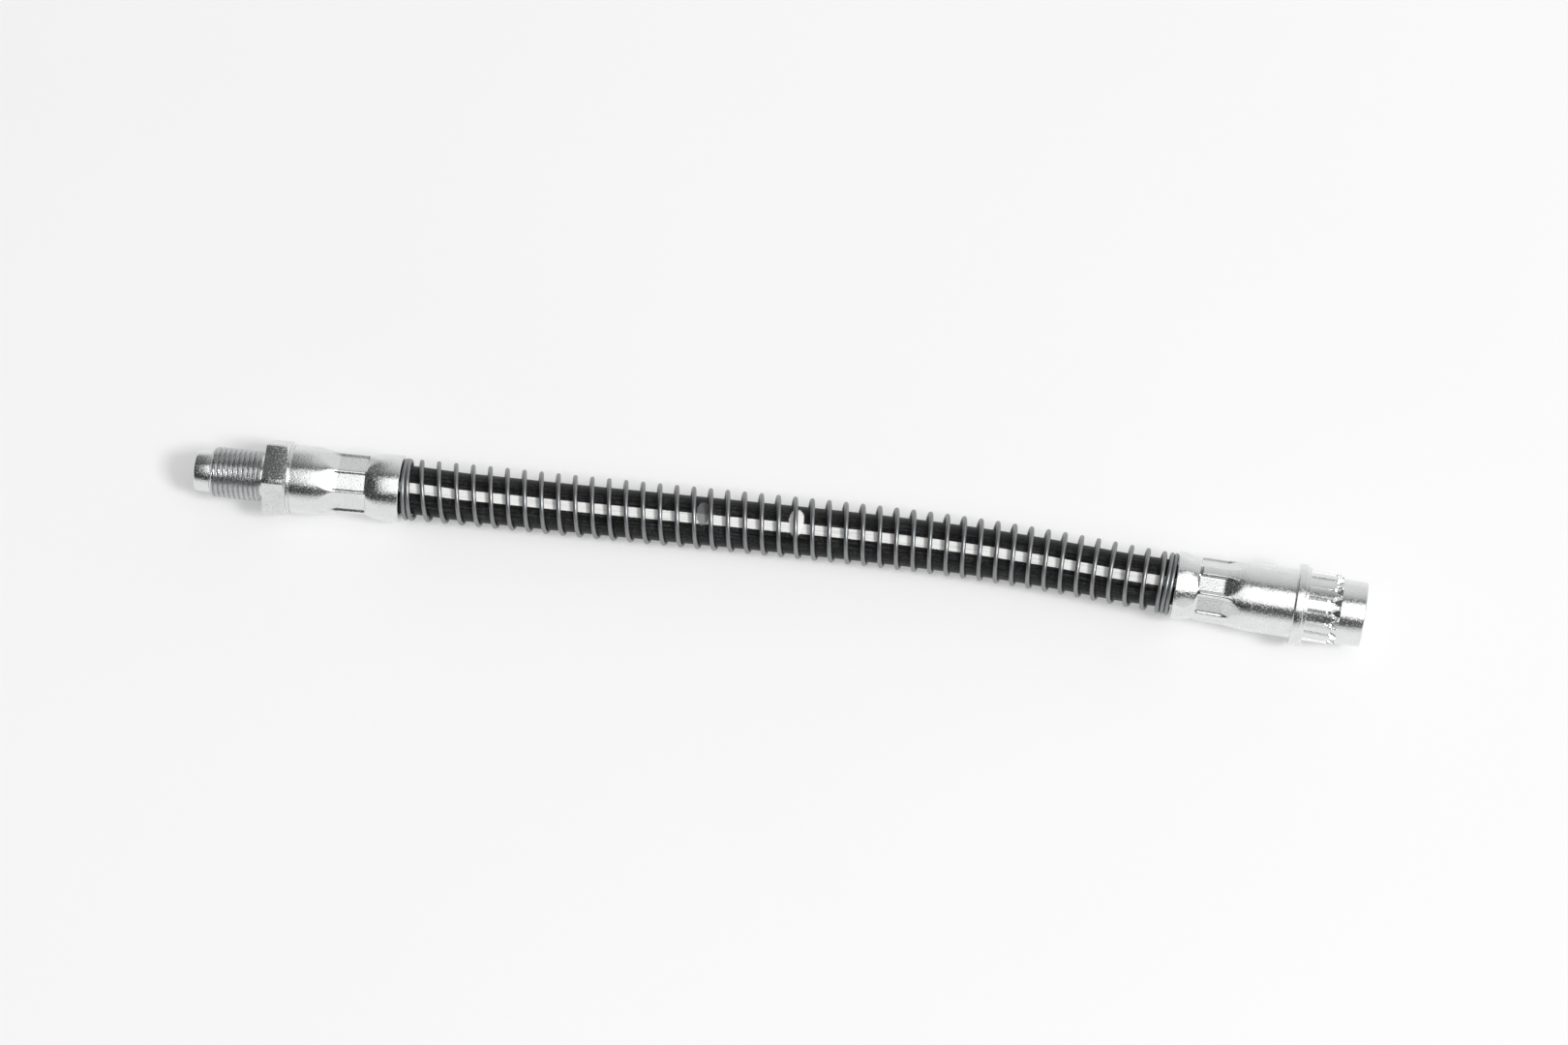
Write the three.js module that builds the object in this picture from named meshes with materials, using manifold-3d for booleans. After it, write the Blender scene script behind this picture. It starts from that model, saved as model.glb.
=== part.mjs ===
// Flexible brake hose with a crimped male end, a crimped female end and a spring guard.
// It lies on a flat surface at z = 0, in millimetres. X runs from the male end to the female end.

import * as THREE from 'three';
import { mergeVertices } from 'three/addons/utils/BufferGeometryUtils.js';
import Module from 'manifold-3d';

const wasm = await Module();
wasm.setup();

// Clearances between pieces
const seatGap = 0.1; // pressed or clamped pieces, layer to layer
const endGap = 0.3; // end faces that meet

// Facets round the turned pieces
const turnedSides = 28;
const insertSides = 16;

// Hose, from the bore outwards
const boreRadius = 1.6;
const innerTubeWall = 0.75;
const innerBraidWall = 0.35;
const middleLayerWall = 0.3;
const outerBraidWall = 0.4;
const coverWall = 0.95;
const hoseSides = 10;
const hoseSteps = 20;

// Steel inserts that the hose ends are clamped on
const insertRadius = 1.9;
const insertBoreRadius = 1.2;
const insertTaper = 0.95;
const insertSeatDepth = 3.6;
const insertShort = 2.5; // how far an insert stops behind the shell's mouth

// Crimped shells, alike on both ends
const shellWall = 1.5;
const jawCount = 8;
const jawWidth = 4.2;
const crimpFlatRadius = 5.65;
const crimpRidgeRadius = 6.3;
const mouthChamfer = 0.4;
const passageRadius = 1.6;

// Male end, lengths in order from the nose tip to the shell's mouth
const noseLength = 3.5;
const noseRadius = 4.15;
const noseTipRadius = 3.8; // the nose is a slight cone
const noseChamfer = 0.4;
const threadLength = 9.8;
const threadRadius = 5.0;
const threadChamfer = 0.7;
const neckLength = 0.7;
const neckRadius = 4.1;
const hexLength = 4.9;
const hexAcrossFlats = 14.0;
const hexChamfer = 0.7; // along the axis, on the hose's side only
const hexChamferAngle = 30; // degrees from the end face
const hexRingLength = 0.45;
const hexRingRadius = 6.95;
const maleSleeveLength = 5.7;
const maleBlendLength = 4.0;
const maleCrimpLength = 5.8;
const maleBellLength = 6.7;
const maleShellRadius = 6.8;
const maleBellRadius = 6.65;
const maleJawAngle = 19; // degrees from straight up towards -Y
const maleSocketDepth = 20.6;

// Female end, lengths in order from the shell's mouth to the open end
const femaleBellLength = 4.5;
const femaleMouthRadius = 6.7;
const femaleBellRadius = 6.1;
const femaleCrimpLength = 4.8;
const femaleBlendLength = 4.5;
const femaleSleeveLength = 9.5;
const femaleShellRadius = 6.75;
const collarLength = 2.5;
const collarRadius = 8.0;
const collarChamfer = 0.4;
const collarStepLength = 0.7; // a lower ring on the collar's free side
const collarStepRadius = 7.55;
const splineLength = 6.4;
const splineChamfer = 1.5;
const splineTipRadius = 7.0;
const splineRootRadius = 6.15; // the bottoms of the V grooves between the teeth
const splineCount = 18;
const splineTipAngle = 13.5; // degrees that one tooth's top spans
const splineAngle = 19.2; // degrees from straight up towards -Y to one tooth
const barrelLength = 4.75;
const barrelRadius = 6.35;
const barrelChamfer = 0.4;
const femaleJawAngle = 8;
const femaleSocketDepth = 18.2;
const portRadius = 4.5;
const portDepth = 12.5;
const portChamfer = 0.6;
const seatConeRadius = 2.9;
const seatConeHeight = 1.6;

// Spring guard
const wireRadius = 0.45;
const guardPlay = 0.5; // radial room between the hose and the wire
const closedTurns = 1.8;
const closedPitch = 0.98;
const openTurns = 44;
const guardStartAngle = 20; // degrees
const wireSides = 6;
const stepsPerTurn = 11;
const floorGap = 0.05; // the lowest coil over the surface

// Where the ends lie
const maleMouth = { x: -74.6, y: 0.92 };
const maleYaw = 2.1; // degrees about +Z
const femaleMouth = { x: 78.62, y: 1.06 };
const femaleYaw = -2.5;
const femaleTilt = 1.0; // the open end is this many degrees up

// Hose centreline between the two mouths: x, y, and how far the axis has risen from the resting
// height, as a share of the male mouth's rise (x < 0) or of the female mouth's rise (x > 0)
const routePoints = [
  [-71.8, 1.02, 0.97],
  [-65.8, 1.29, 0.82],
  [-60.2, 1.54, 0.62],
  [-54.4, 1.77, 0.4],
  [-48.7, 1.97, 0.21],
  [-42.8, 2.16, 0.08],
  [-37.1, 2.34, 0.02],
  [-25.6, 2.70, 0],
  [-14.1, 3.06, 0],
  [-2.6, 3.40, 0],
  [8.9, 3.69, 0],
  [20.4, 3.90, 0],
  [32.0, 3.95, 0],
  [43.5, 3.74, 0.01],
  [50.2, 3.46, 0.06],
  [56.2, 3.08, 0.18],
  [61.7, 2.63, 0.37],
  [66.7, 2.13, 0.59],
  [71.2, 1.65, 0.8],
  [75.2, 1.28, 0.94],
];

// Sizes that follow from the ones above
const hoseRadius = boreRadius + innerTubeWall + innerBraidWall + middleLayerWall + outerBraidWall
  + coverWall + 4 * seatGap;
const coilRadius = hoseRadius + guardPlay + wireRadius;
const socketRadius = hoseRadius + guardPlay;
const crimpBoreRadius = crimpFlatRadius - shellWall;
const maleLength = noseLength + threadLength + neckLength + hexLength + maleSleeveLength
  + maleBlendLength + maleCrimpLength + maleBellLength;
const femaleLength = femaleBellLength + femaleCrimpLength + femaleBlendLength
  + femaleSleeveLength + collarLength + splineLength + barrelLength;
const collarStart = femaleLength - barrelLength - splineLength - collarLength;
const restHeight = coilRadius + wireRadius + floorGap;
const maleHeight = hexAcrossFlats / 2;
const radians = THREE.MathUtils.degToRad;

// Solids

function toSolid(geometry) {
  const bare = new THREE.BufferGeometry();
  bare.setAttribute('position', geometry.getAttribute('position'));
  if (geometry.index) bare.setIndex(geometry.index);
  const merged = mergeVertices(bare, 1e-4);
  return new wasm.Manifold(new wasm.Mesh({
    numProp: 3,
    vertProperties: merged.getAttribute('position').array,
    triVerts: new Uint32Array(merged.index.array),
  }));
}

function toGeometry(solid) {
  const mesh = solid.getMesh();
  const geometry = new THREE.BufferGeometry();
  geometry.setAttribute('position', new THREE.BufferAttribute(mesh.vertProperties, 3));
  geometry.setIndex(new THREE.BufferAttribute(mesh.triVerts, 1));
  const flat = geometry.toNonIndexed();
  flat.computeVertexNormals();
  return flat;
}

// A turned solid along +X from a closed outline of [x, radius] points, inner side first along +X
function turned(outline, segments = turnedSides) {
  const points = [...outline, outline[0]].map(([x, radius]) => new THREE.Vector2(radius, x));
  return new THREE.LatheGeometry(points.reverse(), segments).rotateZ(-Math.PI / 2);
}

// A prism along +X from x = start, whose outline is a list of [y, z] points
function prism(outline, start, length) {
  const shape = new THREE.Shape(outline.map(([y, z]) => new THREE.Vector2(-z, y)));
  const geometry = new THREE.ExtrudeGeometry(shape, { depth: length, bevelEnabled: false });
  return geometry.rotateY(Math.PI / 2).translate(start, 0, 0);
}

// A ring of tools cut out of a body, the first one at an angle from straight up towards -Y
function cutAround(body, tool, count, firstAngle) {
  let solid = body;
  for (let i = 0; i < count; i += 1) {
    const copy = tool.clone().rotateX(radians(90 + firstAngle + (i * 360) / count));
    solid = solid.subtract(toSolid(copy));
  }
  return solid;
}

// One crimping jaw: flat over the crimp, square at one end and curving out at the other
function jawTool(squareX, crimpX, blendX) {
  const top = crimpRidgeRadius + shellWall;
  const shape = new THREE.Shape();
  shape.moveTo(squareX, top);
  shape.lineTo(squareX, crimpFlatRadius);
  shape.lineTo(crimpX, crimpFlatRadius);
  shape.quadraticCurveTo((crimpX + blendX) / 2, crimpFlatRadius, blendX, top);
  const tool = new THREE.ExtrudeGeometry(shape, {
    depth: jawWidth, bevelEnabled: false, curveSegments: 4,
  });
  return tool.translate(0, 0, -jawWidth / 2);
}

// Outline of the inside of a crimped shell, from its closed end to its mouth
function socketOutline(bottom, blend, crimpStart, crimpEnd, mouth, less = 0) {
  const wide = socketRadius - less;
  const narrow = crimpBoreRadius - less;
  const flare = socketRadius - crimpBoreRadius;
  const towards = Math.sign(mouth - bottom);
  return [
    [bottom, wide], [blend, wide], [crimpStart, narrow], [crimpEnd, narrow],
    [crimpEnd + towards * flare, wide], [mouth - towards * mouthChamfer, wide],
  ];
}

// Male end

const maleStations = (() => {
  const threadStart = noseLength;
  const neckStart = threadStart + threadLength;
  const hexStart = neckStart + neckLength;
  const sleeveStart = hexStart + hexLength;
  const blendStart = sleeveStart + maleSleeveLength;
  const crimpStart = blendStart + maleBlendLength;
  const crimpEnd = crimpStart + maleCrimpLength;
  return { threadStart, neckStart, hexStart, sleeveStart, blendStart, crimpStart, crimpEnd };
})();

function maleFitting() {
  const at = maleStations;
  const socketBottom = maleLength - maleSocketDepth;
  const mouth = maleLength;
  const body = toSolid(turned([
    [0, passageRadius],
    [socketBottom - insertSeatDepth, passageRadius],
    [socketBottom - insertSeatDepth, insertRadius + seatGap],
    [socketBottom, insertRadius + seatGap],
    ...socketOutline(socketBottom, at.blendStart, at.crimpStart, at.crimpEnd, mouth),
    [mouth, socketRadius + mouthChamfer],
    [mouth, maleBellRadius - mouthChamfer / 2],
    [mouth - mouthChamfer / 2, maleBellRadius],
    [at.crimpEnd, maleBellRadius],
    [at.crimpEnd, crimpRidgeRadius],
    [at.crimpStart, crimpRidgeRadius],
    [at.blendStart, maleShellRadius],
    [at.sleeveStart + hexRingLength, maleShellRadius],
    [at.sleeveStart + hexRingLength, hexRingRadius],
    [at.hexStart + hexLength / 2, hexRingRadius],
    [at.hexStart + hexLength / 2, neckRadius],
    [at.neckStart, neckRadius],
    [at.neckStart, threadRadius - threadChamfer / 2],
    [at.neckStart - threadChamfer / 2, threadRadius],
    [at.threadStart + threadChamfer, threadRadius],
    [at.threadStart, noseRadius],
    [noseChamfer, noseTipRadius],
    [0, noseTipRadius - noseChamfer],
  ]));
  const crimped = cutAround(
    body, jawTool(at.crimpEnd, at.crimpStart, at.blendStart), jawCount, maleJawAngle,
  );
  return crimped.add(hexagon(at.hexStart));
}

// The spanner hexagon, flats up and down, its corners turned down on the hose's side
function hexagon(start) {
  const half = hexAcrossFlats / 2;
  const corner = half / Math.cos(Math.PI / 6);
  const outline = [];
  for (let i = 0; i < 6; i += 1) {
    const angle = (i * Math.PI) / 3;
    outline.push([corner * Math.cos(angle), corner * Math.sin(angle)]);
  }
  const block = toSolid(prism(outline, start, hexLength));
  const inner = insertRadius + seatGap;
  const faceRadius = corner - hexChamfer / Math.tan(radians(hexChamferAngle));
  const outside = toSolid(turned([
    [start, inner], [start + hexLength, inner],
    [start + hexLength, faceRadius],
    [start + hexLength - hexChamfer, corner + seatGap],
    [start, corner + seatGap],
  ]));
  return block.intersect(outside);
}

// Female end

const femaleStations = (() => {
  const crimpStart = femaleBellLength;
  const crimpEnd = crimpStart + femaleCrimpLength;
  const sleeveStart = crimpEnd + femaleBlendLength;
  const splineStart = collarStart + collarLength;
  const stepStart = splineStart - collarStepLength;
  const barrelStart = splineStart + splineLength;
  return { crimpStart, crimpEnd, sleeveStart, stepStart, splineStart, barrelStart };
})();

function femaleFitting() {
  const at = femaleStations;
  const bottom = femaleSocketDepth;
  const portBottom = femaleLength - portDepth;
  const body = toSolid(turned([
    [femaleLength, portRadius + portChamfer],
    [femaleLength - portChamfer, portRadius],
    [portBottom, portRadius],
    [portBottom, seatConeRadius],
    [portBottom + seatConeHeight, passageRadius + seatGap],
    [portBottom + seatConeHeight, passageRadius],
    [bottom + insertSeatDepth, passageRadius],
    [bottom + insertSeatDepth, insertRadius + seatGap],
    [bottom, insertRadius + seatGap],
    ...socketOutline(bottom, at.sleeveStart, at.crimpEnd, at.crimpStart, 0),
    [0, socketRadius + mouthChamfer],
    [0, femaleMouthRadius - mouthChamfer / 2],
    [mouthChamfer / 2, femaleMouthRadius],
    [at.crimpStart, femaleBellRadius],
    [at.crimpStart, crimpRidgeRadius],
    [at.crimpEnd, crimpRidgeRadius],
    [at.sleeveStart, femaleShellRadius],
    [collarStart, femaleShellRadius],
    [collarStart, collarRadius - collarChamfer],
    [collarStart + collarChamfer, collarRadius],
    [at.stepStart - collarChamfer, collarRadius],
    [at.stepStart, collarRadius - collarChamfer],
    [at.stepStart, collarStepRadius],
    [at.splineStart, collarStepRadius],
    [at.splineStart, splineRootRadius - seatGap],
    [at.barrelStart, splineRootRadius - seatGap],
    [at.barrelStart, barrelRadius],
    [femaleLength - barrelChamfer, barrelRadius],
    [femaleLength, barrelRadius - barrelChamfer],
  ].reverse()));
  const crimped = cutAround(
    body, jawTool(at.crimpStart, at.crimpEnd, at.sleeveStart), jawCount, femaleJawAngle,
  );
  return crimped.add(splineRing(at.splineStart - collarLength / 2));
}

// Teeth that key the end into a bracket, parted by V grooves, with a cone at their free end
function splineRing(start) {
  const outline = [];
  for (let i = 0; i < splineCount; i += 1) {
    const centre = splineAngle + (i * 360) / splineCount;
    for (const [radius, offset] of [
      [splineTipRadius, -splineTipAngle / 2], [splineTipRadius, splineTipAngle / 2],
      [splineRootRadius, 180 / splineCount],
    ]) {
      const angle = radians(centre + offset);
      outline.push([-radius * Math.sin(angle), radius * Math.cos(angle)]);
    }
  }
  const { barrelStart } = femaleStations;
  const end = barrelStart + seatGap;
  const block = toSolid(prism(outline, start, end - start));
  const inner = (portRadius + splineRootRadius) / 2;
  const outside = toSolid(turned([
    [end, inner], [end, barrelRadius - seatGap], [barrelStart, barrelRadius - seatGap],
    [barrelStart - splineChamfer, splineTipRadius + seatGap],
    [start, splineTipRadius + seatGap], [start, inner],
  ]));
  return block.intersect(outside);
}

// A steel insert, tapered at the tip that goes into the hose
function insert(root, tip) {
  const taper = Math.sign(tip - root) * insertTaper;
  const outline = [
    [root, insertBoreRadius], [tip, insertBoreRadius], [tip, insertRadius - seatGap],
    [tip - taper, insertRadius], [root, insertRadius],
  ];
  return toSolid(turned(root < tip ? outline : outline.reverse(), insertSides));
}

// Where the ends lie

const male = new THREE.Group();
const female = new THREE.Group();
male.rotation.z = radians(maleYaw);
male.position.set(maleMouth.x, maleMouth.y, maleHeight);
male.updateMatrix();
male.position.copy(new THREE.Vector3(-maleLength, 0, 0).applyMatrix4(male.matrix));
male.updateMatrix();
female.rotation.set(0, -radians(femaleTilt), radians(femaleYaw), 'ZYX');
const femaleHeight = collarRadius * Math.cos(radians(femaleTilt))
  - collarStart * Math.sin(radians(femaleTilt));
female.position.set(femaleMouth.x, femaleMouth.y, femaleHeight);
female.updateMatrix();

const onMale = (x) => new THREE.Vector3(x, 0, 0).applyMatrix4(male.matrix);
const onFemale = (x) => new THREE.Vector3(x, 0, 0).applyMatrix4(female.matrix);

// Hose

const freePoints = routePoints.map(([x, y, share]) => {
  const rise = (x < 0 ? maleHeight : femaleHeight) - restHeight;
  return new THREE.Vector3(x, y, restHeight + share * rise);
});
const maleSeat = maleLength - maleSocketDepth + endGap;
const femaleSeat = femaleSocketDepth - endGap;
const hoseRoute = new THREE.CatmullRomCurve3([
  onMale(maleSeat), onMale((maleSeat + maleLength) / 2), onMale(maleLength),
  ...freePoints,
  onFemale(0), onFemale(femaleSeat / 2), onFemale(femaleSeat),
], false, 'centripetal');
const guardRoute = new THREE.CatmullRomCurve3(
  [onMale(maleLength), ...freePoints, onFemale(0)], false, 'centripetal',
);

function ringPoints(radius, sides) {
  const points = [];
  for (let i = 0; i < sides; i += 1) {
    const angle = ((i + 0.5) * 2 * Math.PI) / sides;
    points.push(new THREE.Vector2(radius * Math.cos(angle), radius * Math.sin(angle)));
  }
  return points;
}

// One layer of the hose, a tube along the whole route
function hoseLayer(innerRadius, wall) {
  const shape = new THREE.Shape(ringPoints(innerRadius + wall, hoseSides));
  shape.holes.push(new THREE.Path(ringPoints(innerRadius, hoseSides)));
  return toSolid(new THREE.ExtrudeGeometry(shape, { steps: hoseSteps, extrudePath: hoseRoute }));
}

// The room that an insert takes in the hose's bore, and the squeeze of a crimp on the cover
function insertRoom(start, end, frame) {
  const radius = insertRadius + seatGap;
  const room = turned([[start, 0], [end, 0], [end, radius], [start, radius]]);
  return toSolid(room.applyMatrix4(frame));
}

function squeeze(outline, frame) {
  const outside = hoseRadius + shellWall;
  const [first, last] = [outline[0][0], outline[outline.length - 1][0]];
  const points = [...outline, [last, outside], [first, outside]];
  const room = turned(first < last ? points : points.reverse());
  return toSolid(room.applyMatrix4(frame));
}

const innerBraidStart = boreRadius + innerTubeWall + seatGap;
const middleStart = innerBraidStart + innerBraidWall + seatGap;
const outerBraidStart = middleStart + middleLayerWall + seatGap;
const coverStart = outerBraidStart + outerBraidWall + seatGap;

const innerTube = hoseLayer(boreRadius, innerTubeWall)
  .subtract(insertRoom(0, maleLength - insertShort + endGap, male.matrix))
  .subtract(insertRoom(insertShort - endGap, femaleLength, female.matrix));
const maleSqueeze = socketOutline(
  maleStations.sleeveStart, maleStations.blendStart, maleStations.crimpStart,
  maleStations.crimpEnd, maleLength, seatGap,
);
const femaleSqueeze = socketOutline(
  femaleSocketDepth, femaleStations.sleeveStart, femaleStations.crimpEnd,
  femaleStations.crimpStart, 0, seatGap,
);
const cover = hoseLayer(coverStart, coverWall)
  .subtract(squeeze(maleSqueeze, male.matrix))
  .subtract(squeeze(femaleSqueeze, female.matrix));

// Spring guard: a wire wound round the hose, its end turns closed up against the shells

class GuardWire extends THREE.Curve {
  constructor(route) {
    super();
    this.route = route;
    this.length = route.getLength();
    this.turns = 2 * closedTurns + openTurns;
    const margin = endGap + wireRadius + closedTurns * closedPitch;
    this.openPitch = (this.length - 2 * margin) / openTurns;
  }

  along(turn) {
    const start = endGap + wireRadius;
    const closed = Math.min(turn, closedTurns) + Math.max(0, turn - closedTurns - openTurns);
    const open = THREE.MathUtils.clamp(turn - closedTurns, 0, openTurns);
    return start + closed * closedPitch + open * this.openPitch;
  }

  getPoint(t, target = new THREE.Vector3()) {
    const turn = t * this.turns;
    const share = this.along(turn) / this.length;
    const tangent = this.route.getTangentAt(share);
    const side = new THREE.Vector3(0, 0, 1).cross(tangent).normalize();
    const up = tangent.clone().cross(side);
    const angle = radians(guardStartAngle) + turn * 2 * Math.PI;
    return target.copy(this.route.getPointAt(share))
      .addScaledVector(side, coilRadius * Math.cos(angle))
      .addScaledVector(up, coilRadius * Math.sin(angle));
  }
}

function springGuard() {
  const wire = new GuardWire(guardRoute);
  const steps = Math.round(wire.turns * stepsPerTurn);
  wire.arcLengthDivisions = steps * 4;
  const section = new THREE.Shape(ringPoints(wireRadius, wireSides));
  return new THREE.ExtrudeGeometry(section, { steps, extrudePath: wire });
}

// Materials

const steel = () => new THREE.MeshStandardMaterial({
  color: 0xd2d4d4, roughness: 0.28, metalness: 1,
});
const rubber = (color = 0x16171a) => new THREE.MeshStandardMaterial({
  color, roughness: 0.55, metalness: 0,
});
const braid = () => new THREE.MeshStandardMaterial({
  color: 0xd8d3c4, roughness: 0.9, metalness: 0,
});
const springSteel = () => new THREE.MeshStandardMaterial({
  color: 0x8f9193, roughness: 0.45, metalness: 0.9,
});

// Assembly

function addPiece(parent, name, geometry, material) {
  const mesh = new THREE.Mesh(geometry, material);
  mesh.name = name;
  parent.add(mesh);
}

const brakeHose = new THREE.Group();
brakeHose.add(male, female);

addPiece(male, 'male_end_fitting', toGeometry(maleFitting()), steel());
addPiece(male, 'male_insert', toGeometry(insert(
  maleLength - maleSocketDepth - insertSeatDepth + endGap, maleLength - insertShort,
)), steel());
addPiece(female, 'female_end_fitting', toGeometry(femaleFitting()), steel());
addPiece(female, 'female_insert', toGeometry(insert(
  femaleSocketDepth + insertSeatDepth - endGap, insertShort,
)), steel());
addPiece(brakeHose, 'hose_inner_tube', toGeometry(innerTube), rubber(0x222326));
addPiece(
  brakeHose, 'hose_inner_braid', toGeometry(hoseLayer(innerBraidStart, innerBraidWall)), braid(),
);
addPiece(
  brakeHose, 'hose_middle_layer', toGeometry(hoseLayer(middleStart, middleLayerWall)),
  rubber(0x1b1c1f),
);
addPiece(
  brakeHose, 'hose_outer_braid', toGeometry(hoseLayer(outerBraidStart, outerBraidWall)), braid(),
);
addPiece(brakeHose, 'hose_cover', toGeometry(cover), rubber());
addPiece(brakeHose, 'spring_guard', springGuard(), springSteel());

export default brakeHose;
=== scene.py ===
# Brake hose lying on a pale table: a rubber hose in a spring guard, with a male and a female end.
import math
import bpy
import numpy as np
from mathutils import Euler, Matrix, Vector


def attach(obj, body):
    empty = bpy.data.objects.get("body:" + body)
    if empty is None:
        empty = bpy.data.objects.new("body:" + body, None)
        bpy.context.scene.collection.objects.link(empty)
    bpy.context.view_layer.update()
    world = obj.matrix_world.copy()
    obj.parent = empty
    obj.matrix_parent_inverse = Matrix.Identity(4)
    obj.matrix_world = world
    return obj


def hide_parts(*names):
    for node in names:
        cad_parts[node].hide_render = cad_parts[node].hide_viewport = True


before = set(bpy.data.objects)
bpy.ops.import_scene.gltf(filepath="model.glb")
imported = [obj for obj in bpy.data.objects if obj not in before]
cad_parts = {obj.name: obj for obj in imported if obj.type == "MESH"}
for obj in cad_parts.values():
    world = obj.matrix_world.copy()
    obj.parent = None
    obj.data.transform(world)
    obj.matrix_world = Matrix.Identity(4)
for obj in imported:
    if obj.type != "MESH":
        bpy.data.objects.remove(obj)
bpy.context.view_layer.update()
scene = bpy.context.scene
scene.view_settings.view_transform = "Standard"
mm = 0.001


# Camera

cameraView = {
    "aim": (0.00063, 0.00700, 0.0),  # where the middle of the picture meets the table
    "turn": 7.82,        # degrees round the vertical
    "elevation": 66.75,  # degrees above the table
    "distance": 0.808,
    "lens": 93.33,       # mm on a 36 mm wide sensor
}


def makeCamera(view):
    camera = bpy.data.objects.new("camera", bpy.data.cameras.new("camera"))
    camera.data.lens = view["lens"]
    camera.data.sensor_width = 36
    camera.data.clip_start = 0.01
    camera.rotation_euler = Euler((math.radians(90 - view["elevation"]), 0, math.radians(view["turn"])))
    back = camera.rotation_euler.to_matrix() @ Vector((0, 0, 1))
    camera.location = Vector(view["aim"]) + back * view["distance"]
    scene.collection.objects.link(camera)
    scene.camera = camera


makeCamera(cameraView)
print("camera set")


# Materials

def linearColour(hexText):
    parts = [int(hexText[i:i + 2], 16) / 255 for i in (1, 3, 5)]
    return tuple(c / 12.92 if c <= 0.04045 else ((c + 0.055) / 1.055) ** 2.4 for c in parts) + (1,)


# adds a node, sets its properties, and fills its inputs with values, nodes or sockets
def addNode(tree, kind, inputs=None, **settings):
    node = tree.nodes.new(kind)
    for name, value in settings.items():
        setattr(node, name, value)
    for name, value in (inputs or {}).items():
        if isinstance(value, bpy.types.Node):
            value = value.outputs[0]
        if isinstance(value, bpy.types.NodeSocket):
            tree.links.new(value, node.inputs[name])
        else:
            node.inputs[name].default_value = value
    return node


def newMaterial(name):
    material = bpy.data.materials.new(name)
    material.use_nodes = True
    tree = material.node_tree
    tree.nodes.clear()
    return material, tree


# Zinc plated turned steel: bright, a little milky, with fine rings left by the lathe
turnedZinc = {
    "light": "#eeefef", "dull": "#dcdddd",
    "roughness": (0.12, 0.36),  # of the clear plating, and of its milky specks
    "ringSpacing": 0.16,   # mm between lathe marks
    "speckSize": 0.36,     # mm across the milky specks of the plating
    "ringDepth": 0.0012,   # mm
    "speckDepth": 0.03,    # mm
}


def makeTurnedZinc(name, look):
    material, tree = newMaterial(name)
    place = addNode(tree, "ShaderNodeTexCoord")
    lathe = addNode(tree, "ShaderNodeSeparateXYZ", {0: place.outputs["UV"]})
    rings = addNode(tree, "ShaderNodeTexNoise", {
        "W": lathe.outputs["X"], "Scale": 1 / look["ringSpacing"], "Detail": 3.0,
    }, noise_dimensions="1D")
    specks = addNode(tree, "ShaderNodeTexNoise", {
        "Vector": place.outputs["Object"], "Scale": 1 / (look["speckSize"] * mm), "Detail": 3.0,
        "Roughness": 0.6,
    })
    clouds = addNode(tree, "ShaderNodeTexNoise", {
        "Vector": place.outputs["Object"], "Scale": 1 / (6 * look["speckSize"] * mm), "Detail": 2.0,
    })
    dullness = addNode(tree, "ShaderNodeMapRange", {
        "Value": specks.outputs[0], "From Min": 0.5, "From Max": 0.64,
        "To Min": look["roughness"][0], "To Max": look["roughness"][1],
    })
    colour = addNode(tree, "ShaderNodeMix", {
        "Factor": clouds.outputs[0], "A": linearColour(look["light"]), "B": linearColour(look["dull"]),
    }, data_type="RGBA")
    ringBump = addNode(tree, "ShaderNodeBump", {
        "Height": rings.outputs[0], "Distance": look["ringDepth"] * mm, "Strength": 1.0,
    })
    speckBump = addNode(tree, "ShaderNodeBump", {
        "Height": specks.outputs[0], "Distance": look["speckDepth"] * mm, "Strength": 1.0,
        "Normal": ringBump.outputs[0],
    })
    shader = addNode(tree, "ShaderNodeBsdfPrincipled", {
        "Base Color": colour.outputs["Result"], "Metallic": 1.0, "Roughness": dullness.outputs[0],
        "Normal": speckBump.outputs[0],
    })
    addNode(tree, "ShaderNodeOutputMaterial", {"Surface": shader.outputs[0]})
    return material


zincTurnedSteel = makeTurnedZinc("zincPlatedTurnedSteel", turnedZinc)

# The faces of the hexagon keep the drawn bar's pitted skin under the same plating
zincDrawnBar = makeTurnedZinc("zincPlatedDrawnHexBar", {
    **turnedZinc, "roughness": (0.14, 0.44), "speckSize": 0.38, "speckDepth": 0.055, "dull": "#cfd0d1",
})

# The crimp's jaws press the plating smooth, with faint marks along the hose
zincPressedSteel = makeTurnedZinc("zincPlatedPressedSteel", {
    **turnedZinc, "ringDepth": 0.0004, "speckDepth": 0.035,
})

# Rolled threads come out of the plating bath a little matt; their darker grey is painted shade, for the shade
# between the real ridges, which are cut here at about half their depth
zincRolledThreadPaintedShade = makeTurnedZinc("zincPlatedRolledThreadPaintedShade", {
    **turnedZinc, "light": "#c8c9ca", "dull": "#b4b5b6", "roughness": (0.26, 0.36), "ringDepth": 0.0005,
    "speckDepth": 0.003,
})

# Drawn spring wire: satin grey, with fine lines along the wire from the drawing die
springWire = {
    "light": "#a3a5a6", "dull": "#86888a",
    "roughness": (0.36, 0.5),
    "lineSpacing": 0.06,  # mm between die lines; drawn twice as coarse as they are, to show
    "lineDepth": 0.002,   # mm
    "patch": 3.0,         # mm, length of duller stretches
}


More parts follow.
